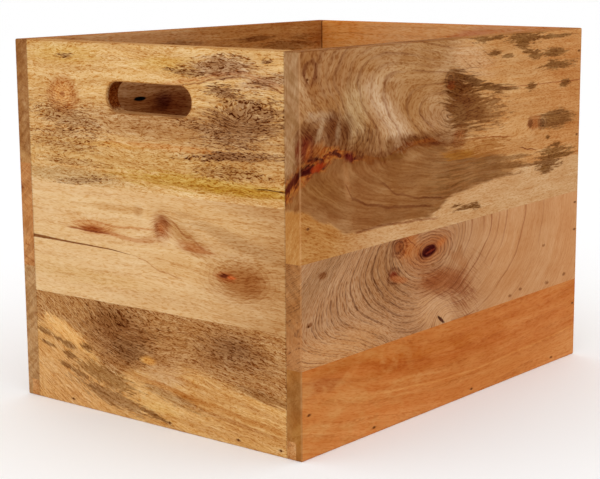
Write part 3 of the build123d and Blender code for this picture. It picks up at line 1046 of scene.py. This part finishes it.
def back_side_top(w):
    # Its inner face shows over the rim, and through the near hand-hold with a knot hole in it.
    w.wander(150, 50, 6.0)
    w.wander(24, 10, 0.8)
    w.hill((128, 246), (24, 9), 5)
    w.hill((300, 262), (30, 12), 8)
    w.ground((170, 112, 64))
    w.bands(160, 8, (186, 128, 76), 0.7)
    inside = ease(w.deep, 6.0, 8.0)
    w.cover(inside, blend(tone(208, 152, 98), tone(184, 118, 58), ease(w.run, 130.0, 250.0)), 0.9)
    w.end_grain((156, 105, 58), (138, 87, 44))
    w.paint((0, 203), (1.5, 7), (190, 138, 82), 0.7, ragged=0.4, soft=0.6)
    for at, reach, strength in (
        ((176, 290, 14), (30, 4), 0.5), ((285, 291, 14), (26, 2.6), 0.7), ((330, 283, 14), (36, 5), 0.6),
        ((352, 290, 14), (16, 2), 0.5), ((226, 282, 14), (30, 5), 0.4),
    ):
        w.paint(at, reach, (116, 62, 26), strength, ragged=1.2, gritty=0.8, soft=0.5, depth=9)
    w.paints(
        ((146, 240, 14), (58, 24), (134, 74, 32), 0.9, 0, 0.5, 0.7, 0, 12),
        ((168, 238, 14), (28, 15), (98, 40, 14), 0.8, 0, 0.5, 0.7, 0, 12),
        ((158, 242, 14), (10, 7), (62, 22, 10), 0.8, 0, 0.6, 0.7, 0, 12),
        # the knot hole: a near-black patch, painted shade in its hollow
        ((128, 246, 14), (7.5, 2.0), (14, 4, 2), 1.0, 0, 0.2, 0.2, 0, 9),
        ((300, 262), (22, 9), (150, 90, 46), 0.7, 0, 0.5, 0.6),
    )
    w.knot((300, 262), (9, 5), (140, 78, 38), (88, 40, 18))
    w.paint((84, 226), (40, 7), (132, 82, 42), 0.6, ragged=1.2, gritty=0.8, depth=9)
    w.rings(8.0, (196, 150, 112), 0.7)
    w.nails()
    w.figure()


def back_side_middle(w):
    # Orange-brown wood whose rings widen from a knot.
    across = w.run - 262.0
    off = (w.up - 150.0) * 3.0
    w.flow = maths("SQRT", across * across * 0.2 + off * off + 60.0)
    w.wander(70, 40, 3.0)
    w.wander(16, 10, 0.6)
    w.ground((186, 126, 74))
    w.bands(120, 8, (200, 144, 90), 0.7)
    w.end_grain((194, 130, 74), (172, 110, 60))
    w.paint((0, 180), (1.5, 12), (132, 66, 34), 0.6, turn=20, ragged=0.5, soft=0.6, depth=4)
    w.paint((262, 150), (30, 10), (158, 94, 48), 0.8, ragged=0.4, soft=0.6)
    w.knot((262, 150), (13, 6.5), (140, 74, 34), (78, 32, 16), rings=2.2)
    w.paint((120, 168), (46, 8), (150, 98, 54), 0.7, turn=6, ragged=1.2, gritty=0.8)
    w.paint((350, 130), (30, 5), (144, 92, 50), 0.7, turn=-8, ragged=1.2, gritty=0.8)
    w.rings(6.0, (180, 130, 94), 0.8)
    w.nails()
    w.figure()


def back_side_bottom(w):
    # Pale wood with brown streaks that lie a little aslant.
    w.flow = w.up - w.run * 0.06
    w.wander(90, 30, 4.0)
    w.wander(20, 9, 0.8)
    w.hill((92, 62), (26, 10), 7)
    w.ground((178, 130, 82))
    w.bands(120, 7, (194, 148, 98), 0.7)
    w.end_grain((182, 134, 84), (158, 110, 64))
    for at, reach in (
        ((210, 80), (60, 6)), ((300, 48), (44, 8)), ((60, 24), (50, 5)), ((350, 88), (30, 5)),
        ((160, 30), (30, 4)), ((250, 20), (40, 3)),
    ):
        w.paint(at, reach, (136, 92, 52), 0.7, turn=4, ragged=1.4, gritty=1.0, soft=0.4)
    w.paint((92, 62), (18, 8), (158, 100, 54), 0.8, ragged=0.4, soft=0.6)
    w.knot((92, 62), (8, 4.6), (146, 84, 42), (86, 42, 20))
    w.rings(7.0, (196, 150, 112), 0.7)
    w.nails()
    w.figure(bands=(140, 6, 0.2), fibres=(20, 1.5, 0.25), pores=(4.5, 0.8, 0.5), clouds=(34, 0.2), curl=0.8)


def right_end_top(w):
    # Orange inside, paler and streaked outside.
    w.wander(90, 30, 4.0)
    w.wander(22, 9, 0.8)
    w.hill((58, 232), (16, 9), 6)
    w.ground((202, 144, 86))
    w.bands(110, 8, (216, 164, 104), 0.7)
    for at, reach in (
        ((210, 284), (44, 5)), ((236, 222), (40, 9)), ((100, 200), (60, 4)), ((40, 276), (26, 4)),
    ):
        w.paint(at, reach, (148, 100, 58), 0.7, ragged=1.2, gritty=1.0, soft=0.4)
    w.paint((58, 232), (15, 9), (176, 112, 60), 0.8, ragged=0.4, soft=0.6)
    w.knot((58, 232), (7, 5), (150, 86, 42), (88, 42, 20))
    inside = blend(tone(236, 168, 104), tone(232, 152, 74), ease(w.run, 190.0, 270.0))
    inside = blend(tone(224, 156, 102), inside, ease(w.run, 60.0, 140.0))
    w.cover(ease(w.deep, 6.0, 8.0), inside, 0.95)
    w.paint((112, 290, 14), (22, 5), (206, 118, 80), 0.6, turn=-12, ragged=0.8, soft=0.6, depth=9)
    # painted shade inside the hand-hold
    w.slot_shade(*HAND_HOLD)
    w.rings(8.0, (206, 164, 124), 0.7)
    w.figure(bands=(140, 6, 0.15), fibres=(22, 1.5, 0.2), pores=(5, 0.9, 0.3), clouds=(34, 0.15))


def right_end_middle(w):
    # Tan wood in level waves.
    w.wander(70, 26, 5.0)
    w.wander(20, 9, 0.8)
    w.hill((196, 136), (24, 9), 8)
    w.ground((190, 138, 84))
    w.bands(110, 8, (208, 160, 106), 0.7)
    w.paint((196, 136), (20, 9), (168, 110, 60), 0.8, ragged=0.4, soft=0.6)
    w.knot((196, 136), (9, 5), (146, 82, 40), (84, 38, 18))
    w.paint((80, 160), (50, 6), (150, 102, 60), 0.6, turn=4, ragged=1.2, gritty=0.8)
    w.paint((110, 108), (60, 5), (158, 110, 64), 0.6, turn=-3, ragged=1.2, gritty=0.8)
    w.rings(6.0, (190, 142, 104), 0.8)
    w.figure(bands=(140, 6, 0.2), fibres=(22, 1.5, 0.2), pores=(5, 0.9, 0.3), clouds=(34, 0.2))


def right_end_bottom(w):
    # Brown wood with yellow streaks.
    w.flow = w.up - w.run * 0.1
    w.wander(80, 26, 4.0)
    w.wander(18, 9, 0.8)
    w.ground((178, 122, 70))
    w.bands(90, 6, (208, 152, 86), 0.8)
    for at, reach in (((80, 60), (46, 12)), ((220, 70), (40, 9)), ((170, 24), (50, 6)), ((40, 18), (30, 5))):
        w.paint(at, reach, (132, 86, 48), 0.75, turn=6, ragged=1.3, gritty=1.0, soft=0.5)
    w.rings(7.0, (190, 142, 104), 0.7)
    w.nails()
    w.figure(bands=(120, 5, 0.2), fibres=(18, 1.5, 0.25), pores=(4.5, 0.8, 0.5), clouds=(30, 0.2), curl=0.8)


def quiet_board(colour, light, dark, knots=()):
    """A board of even wood with a few brown streaks and small knots."""
    def draw(w):
        for at, reach in knots:
            w.hill(at, (reach * 3.0, reach * 1.8), reach * 0.9)
        w.wander(150, 50, 6.0)
        w.wander(30, 10, 0.8)
        w.ground(colour)
        w.bands(160, 8, light, 0.7)
        w.bands(90, 5, dark, 0.6, 0.56, 0.7)
        for at, reach in knots:
            w.paint(at, (reach * 2.2, reach * 1.3), dark, 0.7, ragged=0.5, soft=0.6)
            w.knot(at, (reach, reach * 0.7), dark, (86, 42, 20))
        w.rings(9.0, (200, 158, 120), 0.7)
        w.figure()
    return draw


# Each board: what draws it, its wall, a seed for its grain, and how far its grain climbs into the wood
BOARDS = {
    "front_side_top_board": (front_side_top, "front_side", 1.0, 1.15),
    "front_side_middle_board": (front_side_middle, "front_side", 4.0, 0.6),
    "front_side_bottom_board": (front_side_bottom, "front_side", 7.0, 0.4),
    "left_end_top_board": (left_end_top, "left_end", 11.0, 0.0),
    "left_end_middle_board": (left_end_middle, "left_end", 14.0, 0.0),
    "left_end_bottom_board": (left_end_bottom, "left_end", 17.0, 0.0),
    "back_side_top_board": (back_side_top, "back_side", 21.0, 0.3),
    "back_side_middle_board": (back_side_middle, "back_side", 24.0, 0.5),
    "back_side_bottom_board": (back_side_bottom, "back_side", 27.0, 0.5),
    "right_end_top_board": (right_end_top, "right_end", 31.0, 0.0),
    "right_end_middle_board": (right_end_middle, "right_end", 34.0, 0.0),
    "right_end_bottom_board": (right_end_bottom, "right_end", 37.0, 0.0),
    "floor_front_board": (
        quiet_board((190, 140, 88), (206, 160, 106), (156, 106, 62), [((250, 60), 7)]), "floor", 41.0, 0.0
    ),
    "floor_middle_board": (
        quiet_board((170, 116, 70), (188, 134, 84), (132, 84, 46), [((120, 150), 8)]), "floor", 44.0, 0.0
    ),
    "floor_back_board": (quiet_board((196, 146, 94), (212, 168, 116), (160, 112, 68)), "floor", 47.0, 0.0),
}
for name in ("front_left", "front_right", "back_left", "back_right"):
    BOARDS[f"{name}_rabbet_plug"] = (
        quiet_board((194, 134, 78), (208, 152, 96), (160, 106, 60)), name.split("_")[0] + "_side", 51.0, 0.0
    )

for name, (draw, wall, seed, lean) in BOARDS.items():
    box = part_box(name)
    levels = [MM * corner[2] for corner in box]
    wood = Wood(name.replace("board", "wood"), wall, levels, seed, lean)
    draw(wood)
    wood.finish()
    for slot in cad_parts[name].material_slots:
        slot.material = wood.material


def brad_steel():
    """Darkened steel, rust-brown all over, and dull rather than shiny."""
    material = bpy.data.materials.new("darkened_steel")
    material.use_nodes = True
    tree = material.node_tree
    shader = tree.nodes["Principled BSDF"]
    coordinates = tree.nodes.new("ShaderNodeTexCoord")
    rust = noise(Value(coordinates.outputs["Object"]), 3.0)
    rust.socket.node.inputs["Scale"].default_value = 900.0
    colour = ramp(rust, [(0.4, tone(96, 50, 22)), (0.6, tone(134, 76, 38))])
    feed(shader.inputs["Base Color"], colour)
    feed(shader.inputs["Roughness"], rust * 0.4 + 0.4)
    shader.inputs["Specular IOR Level"].default_value = SPECULAR
    return material


steel = brad_steel()
for name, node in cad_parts.items():
    if name.endswith("brads"):
        for slot in node.material_slots:
            slot.material = steel
